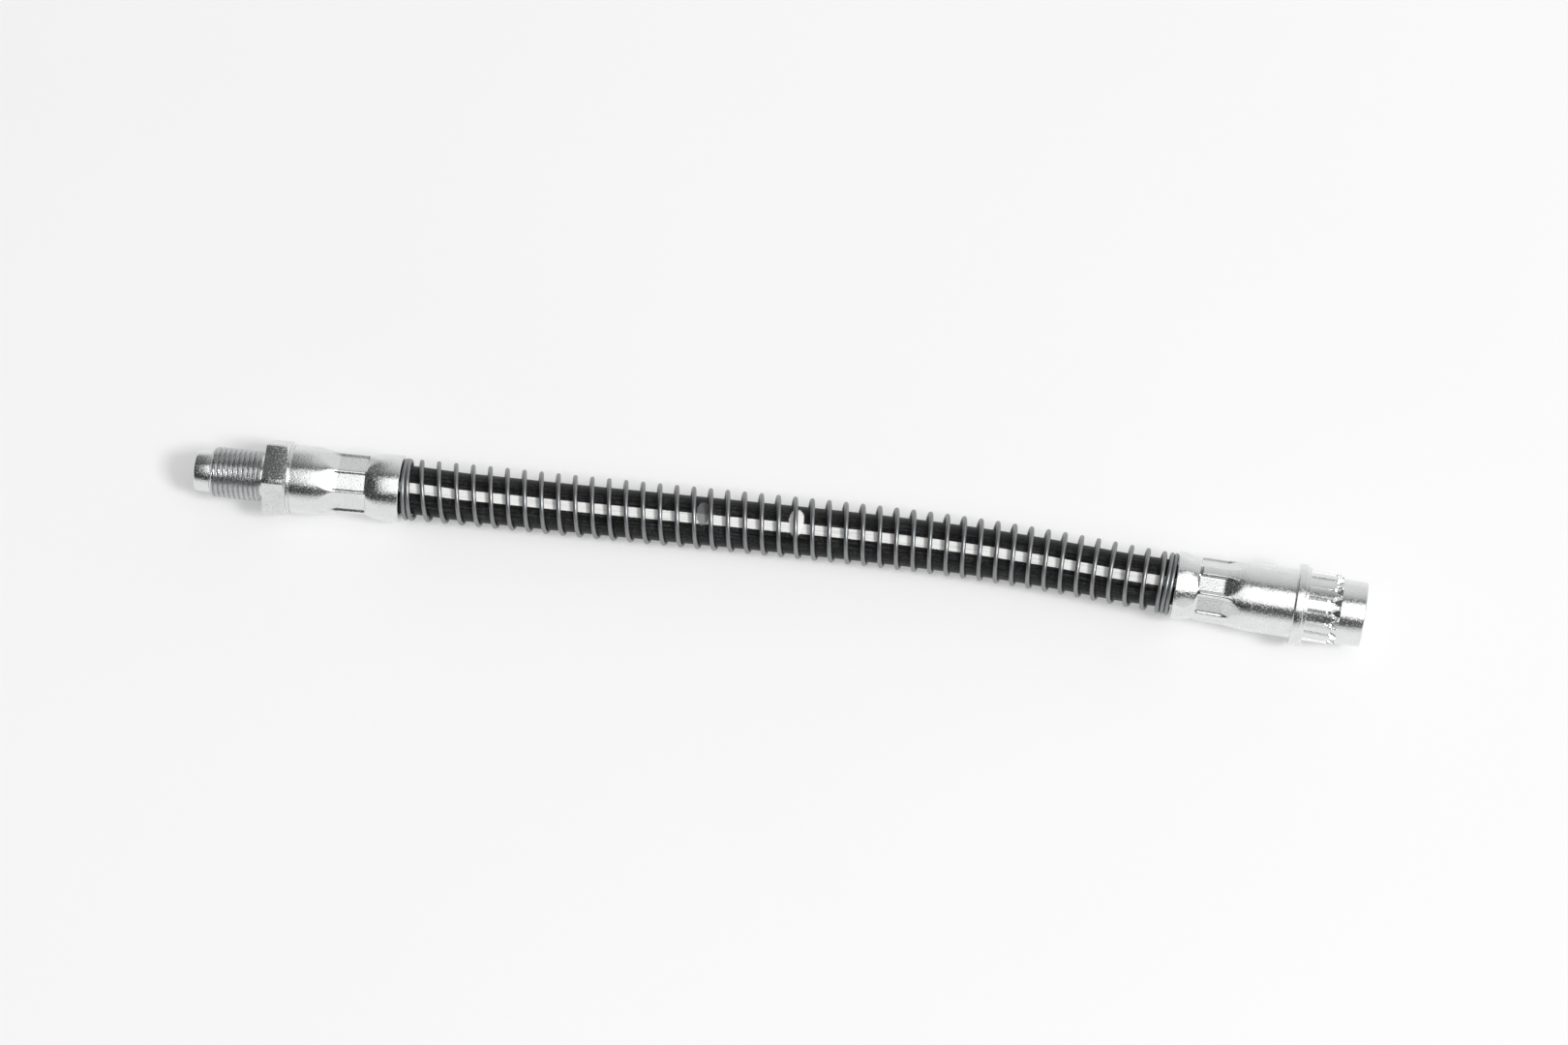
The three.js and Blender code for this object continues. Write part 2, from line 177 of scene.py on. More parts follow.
def makeSpringWire(look):
    material, tree = newMaterial("drawnSpringSteelWire")
    place = addNode(tree, "ShaderNodeTexCoord")
    stretched = addNode(tree, "ShaderNodeMapping", {
        "Vector": place.outputs["UV"], "Scale": (0.05, 1.0, 1.0),
    })
    lines = addNode(tree, "ShaderNodeTexNoise", {
        "Vector": stretched.outputs[0], "Scale": 1 / look["lineSpacing"], "Detail": 2.0,
    }, noise_dimensions="2D")
    patches = addNode(tree, "ShaderNodeTexNoise", {
        "Vector": place.outputs["Object"], "Scale": 1 / (look["patch"] * mm), "Detail": 3.0,
    })
    colour = addNode(tree, "ShaderNodeMix", {
        "Factor": patches.outputs[0], "A": linearColour(look["light"]), "B": linearColour(look["dull"]),
    }, data_type="RGBA")
    dullness = addNode(tree, "ShaderNodeMapRange", {
        "Value": lines.outputs[0], "From Min": 0.3, "From Max": 0.7,
        "To Min": look["roughness"][0], "To Max": look["roughness"][1],
    })
    bump = addNode(tree, "ShaderNodeBump", {
        "Height": lines.outputs[0], "Distance": look["lineDepth"] * mm, "Strength": 1.0,
    })
    shader = addNode(tree, "ShaderNodeBsdfPrincipled", {
        "Base Color": colour.outputs["Result"], "Metallic": 1.0, "Roughness": dullness.outputs[0],
        "Normal": bump.outputs[0],
    })
    addNode(tree, "ShaderNodeOutputMaterial", {"Surface": shader.outputs[0]})
    return material


# Extruded rubber: near black, satin, with fine lines along the hose, and a white ink line on it
hoseRubber = {
    "dark": "#080809", "dusty": "#3a3a3c",
    "roughness": (0.38, 0.55),
    "lineSpacing": 0.35,   # mm round the hose between the die's lines
    "lineDepth": 0.012,    # mm
    "inkWhite": "#e8e8e6", "inkWorn": "#d0d0cf",
    "shine": 0.15,         # old rubber throws back less light than its index alone would give
    "inkAngle": 18.5,      # degrees from straight up towards -Y
    "inkWidth": 1.98,      # mm
    "dab": (78.3, -1.35, 1.5, 3.0),       # white paint: mm along, mm across, half length, half width
    "greyPatch": (59.9, -1.3, 1.3, 2.6),   # where the ink is smeared grey
}


def makeHoseRubber(look, radius):
    material, tree = newMaterial("extrudedRubberWithInkLine")
    place = addNode(tree, "ShaderNodeTexCoord")
    onHose = addNode(tree, "ShaderNodeSeparateXYZ", {0: place.outputs["UV"]})
    stretched = addNode(tree, "ShaderNodeMapping", {
        "Vector": place.outputs["UV"], "Scale": (0.03, 1.0, 1.0),
    })
    lines = addNode(tree, "ShaderNodeTexNoise", {
        "Vector": stretched.outputs[0], "Scale": 1 / look["lineSpacing"], "Detail": 3.0,
    }, noise_dimensions="2D")
    grains = addNode(tree, "ShaderNodeTexNoise", {
        "Vector": place.outputs["Object"], "Scale": 1 / (0.5 * mm), "Detail": 4.0, "Roughness": 0.7,
    })
    dust = addNode(tree, "ShaderNodeMath", {0: grains.outputs[0], 1: lines.outputs[0]}, operation="MULTIPLY")
    rubber = addNode(tree, "ShaderNodeMix", {
        "Factor": addNode(tree, "ShaderNodeMapRange", {"Value": dust, "From Min": 0.2, "From Max": 0.42}),
        "A": linearColour(look["dark"]), "B": linearColour(look["dusty"]),
    }, data_type="RGBA")

    # how far a point is from the middle of the ink line, with a slightly ragged edge
    inkMiddle = math.radians(look["inkAngle"]) * radius
    across = addNode(tree, "ShaderNodeMath", {0: onHose.outputs["Y"], 1: inkMiddle}, operation="SUBTRACT")
    offMiddle = addNode(tree, "ShaderNodeMath", {0: across}, operation="ABSOLUTE")
    ragged = addNode(tree, "ShaderNodeMath", {0: grains.outputs[0], 1: 0.16, 2: offMiddle},
                     operation="MULTIPLY_ADD")
    ink = addNode(tree, "ShaderNodeMapRange", {
        "Value": ragged, "From Min": look["inkWidth"] / 2 + 0.12, "From Max": look["inkWidth"] / 2 + 0.03,
    })
    inkColour = addNode(tree, "ShaderNodeMix", {
        "Factor": addNode(tree, "ShaderNodeMapRange", {
            "Value": lines.outputs[0], "From Min": 0.45, "From Max": 0.75,
        }), "A": linearColour(look["inkWhite"]), "B": linearColour(look["inkWorn"]),
    }, data_type="RGBA")
    lined = addNode(tree, "ShaderNodeMix", {
        "Factor": ink, "A": rubber.outputs["Result"], "B": inkColour.outputs["Result"],
    }, data_type="RGBA")

    painted = lined.outputs["Result"]
    paintMask = ink.outputs[0]
    for name, tone, cover in (("greyPatch", "#6d6d6e", 0.85), ("dab", "#f2f2f0", 1.0)):
        along, side, halfLength, halfWidth = look[name]
        shapeX = addNode(tree, "ShaderNodeMapRange", {
            "Value": onHose.outputs["X"], "From Min": along - halfLength, "From Max": along + halfLength,
            "To Min": -1.0, "To Max": 1.0,
        }, clamp=False)
        shapeY = addNode(tree, "ShaderNodeMapRange", {
            "Value": across, "From Min": side - halfWidth, "From Max": side + halfWidth,
            "To Min": -1.0, "To Max": 1.0,
        }, clamp=False)
        spot = addNode(tree, "ShaderNodeCombineXYZ", {"X": shapeX, "Y": shapeY})
        reach = addNode(tree, "ShaderNodeVectorMath", {0: spot}, operation="LENGTH")
        uneven = addNode(tree, "ShaderNodeMath", {0: grains.outputs[0], 1: 0.5, 2: reach.outputs["Value"]},
                         operation="MULTIPLY_ADD")
        mask = addNode(tree, "ShaderNodeMapRange", {
            "Value": uneven, "From Min": 1.3, "From Max": 1.15, "To Max": cover,
        })
        layer = addNode(tree, "ShaderNodeMix", {
            "Factor": mask, "A": painted, "B": linearColour(tone),
        }, data_type="RGBA")
        painted = layer.outputs["Result"]
        paintMask = addNode(tree, "ShaderNodeMath", {0: paintMask, 1: mask}, operation="MAXIMUM").outputs[0]

    dullness = addNode(tree, "ShaderNodeMapRange", {
        "Value": lines.outputs[0], "From Min": 0.3, "From Max": 0.7,
        "To Min": look["roughness"][0], "To Max": look["roughness"][1],
    })
    thickness = addNode(tree, "ShaderNodeMath", {0: paintMask, 1: 1.5, 2: lines.outputs[0]},
                        operation="MULTIPLY_ADD")
    bump = addNode(tree, "ShaderNodeBump", {
        "Height": thickness, "Distance": look["lineDepth"] * mm, "Strength": 1.0,
    })
    shader = addNode(tree, "ShaderNodeBsdfPrincipled", {
        "Base Color": painted, "Roughness": dullness.outputs[0], "IOR": 1.52, "Normal": bump.outputs[0],
        "Specular IOR Level": look["shine"],
    })
    addNode(tree, "ShaderNodeOutputMaterial", {"Surface": shader.outputs[0]})
    return material


# Hose and its guard: where they run

route = {
    "start": (-74.6, 0.92, 7.0),      # the male shell's mouth, mm
    "finish": (78.62, 1.06, 7.592),   # the female shell's mouth
    "restHeight": 6.2,                # of the guard's axis where it lies on the table
    "points": [                       # x, y and the share of each mouth's rise over the rest height
        (-71.8, 1.02, 0.97), (-65.8, 1.29, 0.82), (-60.2, 1.54, 0.62), (-54.4, 1.77, 0.4),
        (-48.7, 1.97, 0.21), (-42.8, 2.16, 0.08), (-37.1, 2.34, 0.02), (-25.6, 2.70, 0),
        (-14.1, 3.06, 0), (-2.6, 3.40, 0), (8.9, 3.69, 0), (20.4, 3.90, 0),
        (32.0, 3.95, 0), (43.5, 3.74, 0.01), (50.2, 3.46, 0.06), (56.2, 3.08, 0.18),
        (61.7, 2.63, 0.37), (66.7, 2.13, 0.59), (71.2, 1.65, 0.8), (75.2, 1.28, 0.94),
    ],
}

# where each end fitting lies: its local X runs along its axis
maleEnd = {"length": 41.1, "yaw": 2.1, "tilt": 0.0}
femaleEnd = {"yaw": -2.5, "tilt": 1.0}


def endMatrix(end, mouth, mouthAt):
    turn = Euler((0, -math.radians(end["tilt"]), math.radians(end["yaw"]))).to_matrix().to_4x4()
    return Matrix.Translation(mouth) @ turn @ Matrix.Translation((-mouthAt, 0, 0))


maleMatrix = endMatrix(maleEnd, route["start"], maleEnd["length"])
femaleMatrix = endMatrix(femaleEnd, route["finish"], 0)


# a smooth line through points, evenly cut every step mm, with how far along each cut lies
def smoothLine(points, step):
    points = [Vector(p) for p in points]
    points = [2 * points[0] - points[1]] + points + [2 * points[-1] - points[-2]]
    line = []
    for a, b, c, d in zip(points, points[1:], points[2:], points[3:]):
        gap = [max((q - p).length, 1e-6) ** 0.5 for p, q in ((a, b), (b, c), (c, d))]
        slopeB = ((b - a) / gap[0] - (c - a) / (gap[0] + gap[1]) + (c - b) / gap[1]) * gap[1]
        slopeC = ((c - b) / gap[1] - (d - b) / (gap[1] + gap[2]) + (d - c) / gap[2]) * gap[1]
        for i in range(40):
            t = i / 40
            line.append(b * (1 + 2 * t) * (1 - t) ** 2 + slopeB * t * (1 - t) ** 2
                        + c * t * t * (3 - 2 * t) + slopeC * t * t * (t - 1))
    line.append(points[-2])
    line = np.array(line)
    along = np.concatenate([[0], np.cumsum(np.linalg.norm(np.diff(line, axis=0), axis=1))])
    cuts = np.linspace(0, along[-1], max(2, round(along[-1] / step)) + 1)
    return np.stack([np.interp(cuts, along, line[:, k]) for k in range(3)], 1), cuts


def heightOf(x, share):
    rise = route["start" if x < 0 else "finish"][2] - route["restHeight"]
    return route["restHeight"] + share * rise


freePoints = [(x, y, heightOf(x, share)) for x, y, share in route["points"]]


# sideways and upward directions at each point of a line
def sidewaysAndUp(line):
    tangent = np.gradient(line, axis=0)
    tangent /= np.linalg.norm(tangent, axis=1)[:, None]
    side = np.cross((0, 0, 1), tangent)
    side /= np.linalg.norm(side, axis=1)[:, None]
    return side, np.cross(tangent, side)


# a mesh from a grid of points (rings x points round), closed round, its ends joined or left open
def gridPiece(name, grid, alongMm, aroundMm, materials, loop=False, faceMaterial=None, capped=False):
    rings, sides = grid.shape[:2]
    vertices = (grid.reshape(-1, 3) * mm).tolist()
    faces, uvs, slots = [], [], []
    last = rings if loop else rings - 1
    for i in range(last):
        k = (i + 1) % rings
        for j in range(sides):
            n = (j + 1) % sides
            faces.append((i * sides + j, i * sides + n, k * sides + n, k * sides + j))
            uvs += [(alongMm[i], aroundMm[j]), (alongMm[i], aroundMm[j + 1]),
                    (alongMm[i + 1], aroundMm[j + 1]), (alongMm[i + 1], aroundMm[j])]
            slots.append(faceMaterial[i] if faceMaterial is not None else 0)
    if capped:
        for i in (0, rings - 1):
            ring = [i * sides + j for j in range(sides)]
            faces.append(tuple(ring if i else reversed(ring)))
            uvs += [(alongMm[i], aroundMm[j]) for j in (range(sides) if i else reversed(range(sides)))]
            slots.append(0)
    mesh = bpy.data.meshes.new(name)
    mesh.from_pydata(vertices, [], faces)
    layer = mesh.uv_layers.new(name="surfaceMm")
    layer.data.foreach_set("uv", np.array(uvs, dtype=np.float32).ravel())
    for material in materials:
        mesh.materials.append(material)
    mesh.polygons.foreach_set("material_index", slots)
    mesh.shade_smooth()
    mesh.set_sharp_from_angle(angle=math.radians(38))
    piece = bpy.data.objects.new(name, mesh)
    scene.collection.objects.link(piece)
    return piece


# Hose cover

hoseCover = {
    "radius": 4.75,
    "sides": 64,
    "step": 1.0,        # mm between rings
    "slack": (-0.42, -0.22), # mm in Y and Z that the hose lies off the guard's axis, between the ends
    "slackOver": 14,    # mm from each mouth over which it comes to lie so
    "seatMale": 20.3,   # mm that the hose goes into the male shell
    "seatFemale": 17.9,
    "crimpedRadius": 4.0, "crimpedFrom": 2,  # squeezed so, further than this inside a mouth
}


def makeHoseCover(hose):
    seatMale, seatFemale = hose["seatMale"], hose["seatFemale"]
    inMale = [maleMatrix @ Vector((maleEnd["length"] - d, 0, 0)) for d in (seatMale, seatMale / 2, 0)]
    inFemale = [femaleMatrix @ Vector((d, 0, 0)) for d in (0, seatFemale / 2, seatFemale)]
    line, along = smoothLine(inMale + freePoints + inFemale, hose["step"])
    freeStart, freeEnd = seatMale, along[-1] - seatFemale
    inwards = np.clip(np.minimum(along - freeStart, freeEnd - along) / hose["slackOver"], 0, 1)
    line[:, 1:] += (inwards * inwards * (3 - 2 * inwards))[:, None] * np.array(hose["slack"])
    side, up = sidewaysAndUp(line)
    angles = np.linspace(-math.pi, math.pi, hose["sides"] + 1)  # from straight up towards -Y
    radius = np.full(len(line), hose["radius"])
    radius[(along < freeStart - hose["crimpedFrom"]) | (along > freeEnd - hose["crimpedFrom"])] = (
        hose["crimpedRadius"])
    a = angles[:-1][None, :, None]
    grid = line[:, None, :] + radius[:, None, None] * (
        -np.sin(a) * side[:, None, :] + np.cos(a) * up[:, None, :])
    material = makeHoseRubber(hoseRubber, hose["radius"])
    piece = gridPiece("hoseCover", grid, along - freeStart, angles * hose["radius"], [material], capped=True)
    piece.data.validate()
    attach(piece, "root")
    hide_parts("hose_cover")
    return piece, line, along[-1]


coverPiece, coverLine, hoseLength = makeHoseCover(hoseCover)
print(f"hose cover made, {hoseLength:.1f} mm long")


# Spring guard

springGuard = {
    "coilRadius": 5.7,   # to the middle of the wire
    "wireRadius": 0.45,
    "wireSides": 12,
    "stepsPerTurn": 40,
    "firstCrest": 3.6,   # mm from the male mouth to the crest that turns are counted from
    "lastCrest": 3.45,   # mm from the last open crest to the female mouth
    "openTurns": 44,     # between those two crests
    "closedPitch": 0.9,
    "mouthGap": 0.1,     # mm kept between the wire and each mouth
    "ends": (-2.15, 46.6),      # turns where the wire starts and stops
    "open": (-0.55, 44.3),      # turns between which it is wound open
    "crestAngle": 23,    # degrees above the +Y side where the crests are counted
    "lean": (-0.3, 0.35),       # mm that the crests lean towards the female end, at each end
    "wander": 0.65,      # mm that the middle turns have slid towards the female end
}


def makeSpringGuard(guard):
    line, along = smoothLine([route["start"]] + freePoints + [route["finish"]], 0.5)
    side, up = sidewaysAndUp(line)
    firstTurn, lastTurn = guard["ends"]
    turn = np.linspace(firstTurn, lastTurn, round((lastTurn - firstTurn) * guard["stepsPerTurn"]) + 1)
    openPitch = (along[-1] - guard["firstCrest"] - guard["lastCrest"]) / guard["openTurns"]
    openFrom, openTo = guard["open"]
    pitch = np.where((turn > openFrom) & (turn < openTo), openPitch, guard["closedPitch"])
    # the pitch goes smoothly from closed to open and back
    soft = guard["stepsPerTurn"] // 4
    pitch = np.convolve(np.pad(pitch, soft, mode="edge"), np.ones(2 * soft + 1) / (2 * soft + 1), "valid")
    place = np.concatenate([[0], np.cumsum((pitch[1:] + pitch[:-1]) / 2 * np.diff(turn))])
    place += guard["firstCrest"] - np.interp(0, turn, place)
    lean = np.interp(place, (0, along[-1]), guard["lean"])
    place += lean * np.cos(2 * math.pi * turn) + guard["wander"] * np.sin(math.pi * place / along[-1])
    place = np.clip(place, guard["wireRadius"] + guard["mouthGap"],
                    along[-1] - guard["wireRadius"] - guard["mouthGap"])
    angle = np.radians(guard["crestAngle"]) + 2 * math.pi * turn
    centre = np.stack([np.interp(place, along, line[:, k]) for k in range(3)], 1)
    sideAt = np.stack([np.interp(place, along, side[:, k]) for k in range(3)], 1)
    upAt = np.stack([np.interp(place, along, up[:, k]) for k in range(3)], 1)
    outward = np.cos(angle)[:, None] * sideAt + np.sin(angle)[:, None] * upAt
    wire = centre + guard["coilRadius"] * outward
    wireTangent = np.gradient(wire, axis=0)
    wireTangent /= np.linalg.norm(wireTangent, axis=1)[:, None]
    across = np.cross(wireTangent, outward)
    across /= np.linalg.norm(across, axis=1)[:, None]
    a = np.linspace(0, 2 * math.pi, guard["wireSides"] + 1)
    ring = a[:-1][None, :, None]
    grid = wire[:, None, :] + guard["wireRadius"] * (
        np.cos(ring) * np.cross(across, wireTangent)[:, None, :] + np.sin(ring) * across[:, None, :])
    wireAlong = np.concatenate([[0], np.cumsum(np.linalg.norm(np.diff(wire, axis=0), axis=1))])
    material = makeSpringWire(springWire)
    piece = gridPiece("springGuard", grid, wireAlong, a * guard["wireRadius"], [material], capped=True)
    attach(piece, "root")
    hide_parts("spring_guard")
    return piece


guardPiece = makeSpringGuard(springGuard)
print("spring guard made")


# End fittings

endFinish = {"turned": 0, "bar": 1, "pressed": 2, "rolled": 3}
endMaterials = [zincTurnedSteel, zincDrawnBar, zincPressedSteel, zincRolledThreadPaintedShade]
patternRadius = 6.8  # mm, where the finishes' patterns have their real size round an end

# what both ends have inside, mm
insideEnd = {"crimpedSocket": 4.15, "insertRadius": 2.0, "insertDepth": 3.6}


# angles round an end, from straight up towards -Y
def anglesRound(sides):
    return np.linspace(0, 2 * math.pi, sides, endpoint=False)


# an outline of (x, radius, rounding) corners in mm, each corner rounded off
def roundedOutline(corners):
    line = []
    for i, (x, radius, cut) in enumerate(corners):
        here = Vector((x, radius))
        if cut == 0 or i in (0, len(corners) - 1):
            line.append(here)
            continue
        before = Vector(corners[i - 1][:2]) - here
        after = Vector(corners[i + 1][:2]) - here
        start = here + before.normalized() * min(cut, before.length * 0.48)
        end = here + after.normalized() * min(cut, after.length * 0.48)
        for t in (0, 0.2, 0.4, 0.6, 0.8, 1):
            line.append(start * (1 - t) ** 2 + here * 2 * t * (1 - t) + end * t * t)
    return line


# adds points to an outline so that none between two stations is further apart than step
def denser(line, start, end, step):
    dense = []
    for a, b in zip(line, line[1:]):
        dense.append(a)
        if min(a.x, b.x) < end and max(a.x, b.x) > start:
            pieces = math.ceil((b - a).length / step)
            dense += [a.lerp(b, k / pieces) for k in range(1, pieces)]
    return dense + [line[-1]]


# rings of x and radius from an outline, the same all round
def outlineRings(line, angles):
    x = np.array([[p.x] * len(angles) for p in line])
    radius = np.array([[p.y] * len(angles) for p in line])
    return x, radius


def softMin(a, b, blend):
    return (a + b - np.sqrt((a - b) ** 2 + blend ** 2)) / 2


# how far each angle is from a middle one, or from the nearest of count evenly spaced ones
def anglesFrom(angles, middle, count=1):
    step = 2 * math.pi / count
    return (angles - math.radians(middle) + step / 2) % step - step / 2


threadForm = {"pitch": 1.0, "crestShare": 0.58, "flankShare": 0.3}  # mm, and shares of a turn


# a thread's ridges, flat at their crests: depth below the crest at each station and angle
def threadDepth(x, angles, depth):
    phase = (x / threadForm["pitch"] - angles[None, :] / (2 * math.pi)) % 1
    pastCrest = np.abs(2 * phase - 1) - threadForm["crestShare"]
    return depth * np.clip(pastCrest / threadForm["flankShare"], 0, 1)


# the crimping tool, the same at both ends; mm and degrees
crimpTool = {
    "flatRadius": 5.65, "curveRise": 1.2, "squareRise": 0.42,
    "squareOver": 0.25,     # along the hose, at the square end
    "clearAfter": 5, "clearSlope": 0.2,  # the flat lifts off the shell this far past its crimp
    "sideSlope": 1.7,       # of the metal beside a flat
    "reach": 60,            # to each side of a jaw's middle
    "edgeBlend": 0.07, "soften": 2,
}


# eight flat jaws pressed into a shell, square at one end and curving out at the other; each jaw
# has its own middle, and the angles on both sides of it where its flat stops
def pressJaws(x, radius, angles, jaws):
    away = np.sign(jaws["blendEnd"] - jaws["crimp"])
    into = (x - jaws["crimp"]) * away            # past the flat, towards the curved end
    over = (jaws["square"] - x) * away           # past the square end, towards the mouth
    share = np.clip(into / abs(jaws["blendEnd"] - jaws["crimp"]), 0, 1)
    curve = (1 - (1 - share) ** jaws["curve"]) * jaws["curveRise"]
    curve = curve + np.clip(into - jaws["clearAfter"], 0, 9) * jaws["clearSlope"]
    squareOver = jaws["squareOver"]
    step = np.clip(over / squareOver, 0, 1) * jaws["squareRise"]
    step = step + np.clip(over - squareOver, 0, 9) * jaws["flare"]
    flat = jaws["flatRadius"] + curve + step
    pressed = np.full(radius.shape, 99.0)        # far outside, where no jaw reaches
    for middle, low, high in jaws["flats"]:
        angle = anglesFrom(angles, middle)[None, :]
        under = np.abs(angle) < math.radians(jaws["reach"])
        sideways = flat * np.tan(np.where(under, angle, 0))
        beyond = np.maximum(sideways - flat * math.tan(math.radians(high)),
                            flat * math.tan(math.radians(low)) - sideways)
        jaw = flat / np.cos(np.where(under, angle, 0)) + np.clip(beyond, 0, None) * jaws["sideSlope"]
        pressed = np.where(under, np.minimum(pressed, jaw), pressed)
    result = softMin(radius, pressed, jaws["edgeBlend"])
    # pressed metal has no knife edges
    for turn in range(jaws["soften"]):
        result = (np.roll(result, 1, 1) + np.roll(result, -1, 1) + 2 * result) / 4
        result[1:-1] = (result[2:] + result[:-2] + 2 * result[1:-1]) / 4
    return result


# joins the stretches of rings into one closed body and places it
def endPiece(name, stretches, angles, matrix):
    x = np.concatenate([s[0] for s in stretches])
    radius = np.concatenate([s[1] for s in stretches])
    finish = np.concatenate([[endFinish[s[2]]] * len(s[0]) for s in stretches])
    grid = np.stack([x, -radius * np.sin(angles), radius * np.cos(angles)], 2)
    place = np.array(matrix)
    grid = grid @ place[:3, :3].T + place[:3, 3]
    steps = np.hypot(np.diff(x[:, 0], append=x[0, 0]), np.diff(radius[:, 0], append=radius[0, 0]))
    along = np.concatenate([[0], np.cumsum(steps)])
    around = np.append(angles, 2 * math.pi) * patternRadius
    piece = gridPiece(name, grid, along, around, endMaterials, loop=True, faceMaterial=finish)
    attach(piece, "root")
    return piece


# Male end: nose, thread, hexagon and crimped shell

maleFitting = {
    "sides": 240,  # divides by 8 jaws and 6 flats
    "bore": 1.6, "noseTip": 3.97, "nose": (3.4, 4.15),
    "thread": (3.55, 13.25), "crest": 5.0,
    "root": 4.7,   # real ridges are about twice as deep, but the photograph shows them soft
    "neck": (13.3, 4.1), "hexagon": (14.25, 18.9), "acrossFlats": 14.0, "hexChamfer": 0.7,
    "rubbed": 0.22,  # gone from the hexagon's edges
    "ring": (19.35, 6.95), "shell": 6.8, "bell": 6.66, "length": 41.1, "socket": 20.5,
    "socketRadius": 5.2,
    "jaws": {
        **crimpTool, "crimp": 28.6, "blendEnd": 24.6, "square": 34.4, "curve": 1.2, "flare": 0.3,
        "flats": [(-26, -17, 26), (19, -16.8, 16.8), (64, -25.5, 17), (109, -19, 19), (154, -18, 18),
                  (199, -19, 19), (244, -18, 18), (289, -19, 18)],
    },
}


def hexagonRings(fitting, angles):
    start, end = fitting["hexagon"]
    half = fitting["acrossFlats"] / 2
    corner = half / math.cos(math.pi / 6)
    flat = half / np.cos(anglesFrom(angles, 0, 6))
    radius = softMin(flat, np.full(len(angles), corner - fitting["rubbed"]), 0.04)
    # the corners are turned down at 30 degrees on the hose's side only
    face = corner - fitting["hexChamfer"] / math.tan(math.radians(30))
    chamfer = (radius - face) * math.tan(math.radians(30))
    whole = np.ones(len(angles))
    x = [start * whole, start * whole + 0.03, start * whole + 0.1, end - chamfer, end * whole]
    return np.array(x), np.array([radius - 0.1, radius - 0.03, radius, radius, face * whole])


def makeMaleFitting(fitting):
    angles = anglesRound(fitting["sides"])
    noseLength, noseRadius = fitting["nose"]
    hexStart, hexEnd = fitting["hexagon"]
    root, crest = fitting["root"], fitting["crest"]
    threadStart, threadEnd = fitting["thread"]
    jaws = fitting["jaws"]

    nose = outlineRings(roundedOutline([
        (0.4, fitting["bore"], 0), (0, fitting["bore"] + 0.4, 0.1), (0, fitting["noseTip"], 0.5),
        (noseLength - 0.3, noseRadius, 0.05), (noseLength - 0.2, noseRadius - 0.25, 0.03),
        (noseLength, noseRadius - 0.25, 0.03), (threadStart, root, 0),
    ]), angles)

    line = denser([Vector((threadStart + 0.02, root)), Vector((threadEnd, root))], 0, 99, 1 / 12)
    x, radius = outlineRings(line, angles)
    crestHere = np.minimum(crest, np.minimum(root + (x - threadStart) * 1.0, root + (threadEnd - x) * 0.8))
    thread = x, np.maximum(radius, crestHere - threadDepth(x, angles, crest - root))

    neck = outlineRings(roundedOutline([
        (threadEnd + 0.02, root, 0), (fitting["neck"][0], fitting["neck"][1], 0.05),
        (hexStart, fitting["neck"][1], 0.2), (hexStart, fitting["acrossFlats"] / 2 - 0.2, 0),
    ]), angles)

    shellRadius, bell, length = fitting["shell"], fitting["bell"], fitting["length"]
    ringEnd, ringRadius = fitting["ring"]
    groove = shellRadius - 0.3
    line = roundedOutline([
        (hexEnd + 0.01, ringRadius, 0), (ringEnd, ringRadius, 0.1), (ringEnd + 0.03, groove, 0.02),
        (ringEnd + 0.22, groove, 0.02), (ringEnd + 0.3, shellRadius, 0.05),
        (jaws["blendEnd"], shellRadius, 1.2),
        (jaws["crimp"], 6.34, 1.2), (jaws["square"] + 0.2, 6.3, 0.4), (jaws["square"] + 3.0, bell, 1.4),
        (length - 0.02, bell, 0.25), (length, 5.7, 0.2), (length - 0.35, 5.2, 0.1),
    ])
    line = denser(line, jaws["blendEnd"] - 0.6, jaws["square"] + 2.6, 0.14)
    x, radius = outlineRings(line, angles)
    outside = radius.copy()
    zone = (x[:, 0] > jaws["blendEnd"] - 0.6) & (x[:, 0] < jaws["square"] + 2.6) & (radius[:, 0] > 6)
    outside[zone] = pressJaws(x[zone], radius[zone], angles, jaws)
    shell = x, outside

    socket, socketRadius, bore = fitting["socket"], fitting["socketRadius"], fitting["bore"]
    crimped, insertRadius = insideEnd["crimpedSocket"], insideEnd["insertRadius"]
    insertEnd = socket - insideEnd["insertDepth"]
    inside = outlineRings(roundedOutline([
        (length - 0.6, socketRadius, 0), (jaws["square"] + 1.0, socketRadius, 0.5),
        (jaws["square"], crimped, 0.5), (jaws["crimp"], crimped, 0.5), (jaws["blendEnd"], socketRadius, 0.5),
        (socket, socketRadius, 0), (socket, insertRadius, 0), (insertEnd, insertRadius, 0),
        (insertEnd, bore, 0), (0.6, bore, 0),
    ]), angles)
    piece = endPiece("maleEndFitting", [
        (*nose, "turned"), (*thread, "rolled"), (*neck, "turned"), (*hexagonRings(fitting, angles), "bar"),
        (*shell, "pressed"), (*inside, "turned"),
    ], angles, maleMatrix)
    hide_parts("male_end_fitting")


makeMaleFitting(maleFitting)
print("male end made")


# Female end: crimped shell, collar, key teeth, barrel and threaded port

